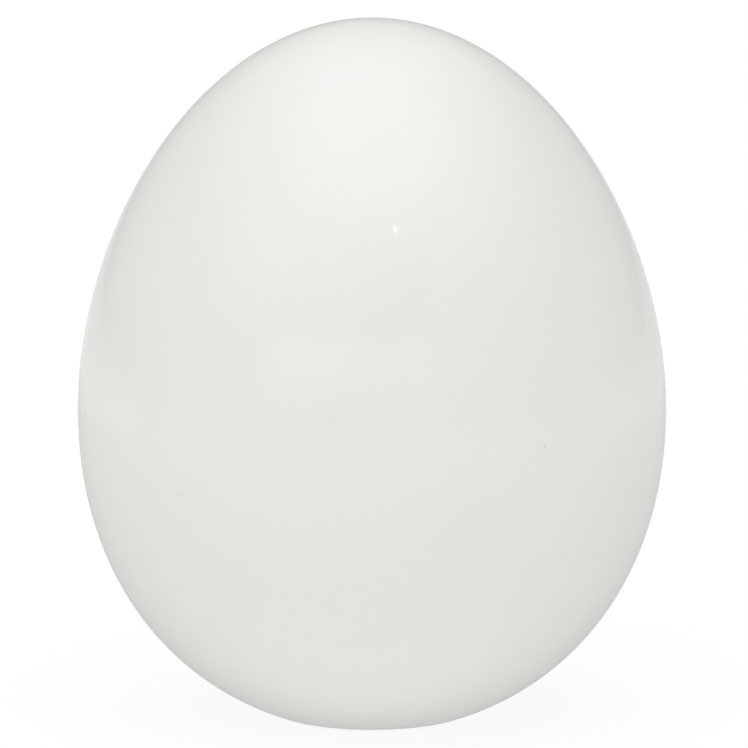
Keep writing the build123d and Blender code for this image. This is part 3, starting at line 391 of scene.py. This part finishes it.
def dial_turned(minute):
    """Turns something above the dial's axis to a minute, clockwise as seen from the front."""
    return Matrix.Rotation(math.radians(MINUTE_DEGREES * minute), 4, "Y")


def printed(name, drawn, material):
    """Makes a drawn mesh into a piece that is printed on the dial plate."""
    mesh = bpy.data.meshes.new(name)
    drawn.to_mesh(mesh)
    drawn.free()
    mesh.materials.append(material)
    piece = bpy.data.objects.new(name, mesh)
    bpy.context.scene.collection.objects.link(piece)
    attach(piece, "case")


def draw_tick(drawn, minute, inner, outer, width):
    """A thin bar with round ends that points at the dial's axis."""
    half = width / 2
    outline = []
    for end, start_angle in ((outer - half, 0.0), (inner + half, math.pi)):
        for i in range(TICK_STEPS + 1):
            angle = start_angle + math.pi * i / TICK_STEPS
            outline.append((half * math.cos(angle), end + half * math.sin(angle)))
    place = Matrix.Translation(DIAL_CENTRE) @ dial_turned(minute)
    front, back = [
        [drawn.verts.new(place @ Vector((x, -level, z))) for x, z in outline]
        for level in (INK_THICK, INK_SINK)
    ]
    drawn.faces.new(front)
    drawn.faces.new(back[::-1])
    for i in range(len(front)):
        j = (i + 1) % len(front)
        drawn.faces.new((front[j], front[i], back[i], back[j]))


def dial_ticks(material):
    drawn = bmesh.new()
    for minute in range(MINUTES + 1):
        draw_tick(drawn, minute, *(MINUTE_TICK if minute % NUMBER_STEP else FIVE_MINUTE_TICK))
    bmesh.ops.recalc_face_normals(drawn, faces=drawn.faces)
    printed("dial_ticks", drawn, material)


def number_mesh(text):
    """A number in the XY plane, about the origin."""
    curve = bpy.data.curves.new("number", "FONT")
    curve.body = text
    curve.size = NUMBER_SIZE
    curve.align_x = "CENTER"
    curve.align_y = "CENTER"
    curve.extrude = (INK_THICK - INK_SINK) / 2
    curve.resolution_u = 6
    label = bpy.data.objects.new("number", curve)
    bpy.context.scene.collection.objects.link(label)
    shape = bpy.data.meshes.new_from_object(label.evaluated_get(bpy.context.evaluated_depsgraph_get()))
    bpy.data.objects.remove(label)
    return shape


def dial_numbers(material):
    drawn = bmesh.new()
    upright = Matrix.Rotation(math.pi / 2, 4, "X")
    lift = Vector((0, -(INK_THICK + INK_SINK) / 2, 0))
    for minute in range(0, MINUTES + 1, NUMBER_STEP):
        around = dial_turned(minute) @ Vector((0, 0, NUMBER_RADIUS))
        shape = number_mesh(str(minute))
        shape.transform(Matrix.Translation(DIAL_CENTRE + lift + around) @ upright)
        drawn.from_mesh(shape)
    printed("dial_numbers", drawn, material)


dial_ink = ink("dial_ink")
dial_ticks(dial_ink)
dial_numbers(dial_ink)


# ---- stage ----
FLOOR_REACH = 6.0
FLOOR_SIDES = 96
FLOOR_GLOW = 0.835
FLOOR_SHADE = 0.23
FLOOR_TINT = (0.985, 0.975, 0.995)
# The light from all round, as (sine of the elevation, level).
SKY_LEVELS = [
    (-1.0, 0.0), (-0.75, 0.03), (-0.45, 0.33), (-0.15, 0.67), (0.0, 0.46),
    (0.2, 0.45), (0.5, 0.37), (0.8, 0.24), (1.0, 0.05),
]
SKY_TINT = (1.04, 1.05, 1.0)
# Angles in the next two lists are in degrees, and a side counts from +Y towards +X.
# Soft round glows in the light, as (elevation, side, reach, level).
SKY_GLOWS = [
    (80, 0, 70, 0.93), (80, 0, 40, 0.82), (130, 0, 40, 0.29), (25, 40, 40, 0.23), (46.5, -13.5, 1.5, 4.0),
]
# Soft-edged upright cards in it, as (side from, side to, elevation from, elevation to, level).
SKY_CARDS = [
    (-30, 42, 19.3, 45.5, -0.2), (-23, 40, 3, 19.3, 0.15), (-23, 40, 9, 19.3, 0.3),
    (100, 190, -9, -1.5, 0.17), (-190, -100, -9, -1.5, 0.12),
]
CARD_EDGE = 3.0
GLOW_TINT = (1.0, 0.97, 1.01)


def stage_floor():
    """A wide pale floor that glows, so that shadows on it stay faint."""
    bpy.ops.mesh.primitive_circle_add(vertices=FLOOR_SIDES, radius=FLOOR_REACH, fill_type="NGON")
    floor = bpy.context.object
    floor.name = "stage_floor"
    floor.visible_glossy = False  # flagged from the shell's gloss, which mirrors the dimmer world instead
    look = Look("stage_paper")
    grain = look.noise(2.0, 3.0)
    paper = srgb(236, 236, 235)
    dark, light = shaded(paper, FLOOR_SHADE), shaded(paper, FLOOR_SHADE * 1.02)
    look.color(look.mix(look.spread(grain, 0.0, 1.0), dark, light))
    look.roughness(look.spread(grain, 0.85, 0.95))
    look.settings(Emission_Color=(*FLOOR_TINT, 1), Emission_Strength=FLOOR_GLOW, Specular_IOR_Level=0.0)
    floor.data.materials.append(look.material)


def sky_glow(sky, toward, elevation, side, reach, level):
    """A glow's level, which fades from its centre to its reach."""
    rise, turn = math.radians(elevation), math.radians(side)
    centre = (math.cos(rise) * math.sin(turn), math.cos(rise) * math.cos(turn), math.sin(rise))
    near = sky.vector("DOT_PRODUCT", toward, centre, "Value")
    return sky.spread(near, 0.0, level, math.cos(math.radians(reach)), 1.0, smooth=True)


def sky_card(sky, side, elevation, limits, level):
    """A card's level inside its four limits, which fades across its edges."""
    inside = level
    for angle, limit, falls in zip((side, side, elevation, elevation), limits, (0, 1, 0, 1)):
        start, end = math.radians(limit - CARD_EDGE / 2), math.radians(limit + CARD_EDGE / 2)
        step = sky.spread(angle, falls, 1 - falls, start, end, smooth=True)
        inside = sky.math("MULTIPLY", step, inside)
    return inside


def studio_world():
    """Soft light from all round, with a broad glow overhead, as in a light tent under a softbox."""
    world = bpy.data.worlds.new("studio")
    bpy.context.scene.world = world
    world.use_nodes = True
    sky = Tree(world.node_tree)
    toward = sky.add("ShaderNodeTexCoord").outputs["Generated"]
    split = sky.add("ShaderNodeSeparateXYZ", {0: toward})
    x, y, z = [split.outputs[axis] for axis in "XYZ"]
    ramp = sky.add("ShaderNodeValToRGB", {"Fac": sky.spread(z, 0.0, 1.0, -1.0, 1.0)})
    stops = ramp.color_ramp.elements
    while len(stops) < len(SKY_LEVELS):
        stops.new(0.5)
    for stop, (sine, level) in zip(stops, SKY_LEVELS):
        stop.position = (sine + 1) / 2
        stop.color = (*[level * part for part in SKY_TINT], 1.0)
    side = sky.math("ARCTAN2", x, y)
    elevation = sky.math("ARCSINE", z)
    total = 0.0
    for glow in SKY_GLOWS:
        total = sky.math("ADD", sky_glow(sky, toward, *glow), total)
    for *limits, level in SKY_CARDS:
        total = sky.math("ADD", sky_card(sky, side, elevation, limits, level), total)
    light = sky.vector("ADD", ramp.outputs["Color"], sky.vector("MULTIPLY", GLOW_TINT, total))
    sky.put(sky.nodes["Background"].inputs["Color"], light)


# ---- camera ----
EGG_MIDDLE = Vector((0.0, 0.0, 36.25 * MM))
AIM_OFFSET = Vector((-0.21 * MM, 0.0, 0.105 * MM))
CAMERA_DISTANCE = 0.7
CAMERA_ELEVATION = math.radians(10)
CAMERA_LENS = 319.7


def camera():
    """Behind the timer and a little above it, with a long lens."""
    data = bpy.data.cameras.new("camera")
    data.lens = CAMERA_LENS
    data.clip_start = 0.01
    data.clip_end = 50.0
    eye = bpy.data.objects.new("camera", data)
    bpy.context.scene.collection.objects.link(eye)
    back = Vector((0, math.cos(CAMERA_ELEVATION), math.sin(CAMERA_ELEVATION)))
    eye.location = EGG_MIDDLE + AIM_OFFSET + back * CAMERA_DISTANCE
    eye.rotation_euler = (-back).to_track_quat("-Z", "Y").to_euler()
    bpy.context.scene.camera = eye


stage_floor()
studio_world()
camera()
bpy.context.scene.view_settings.view_transform = "Standard"
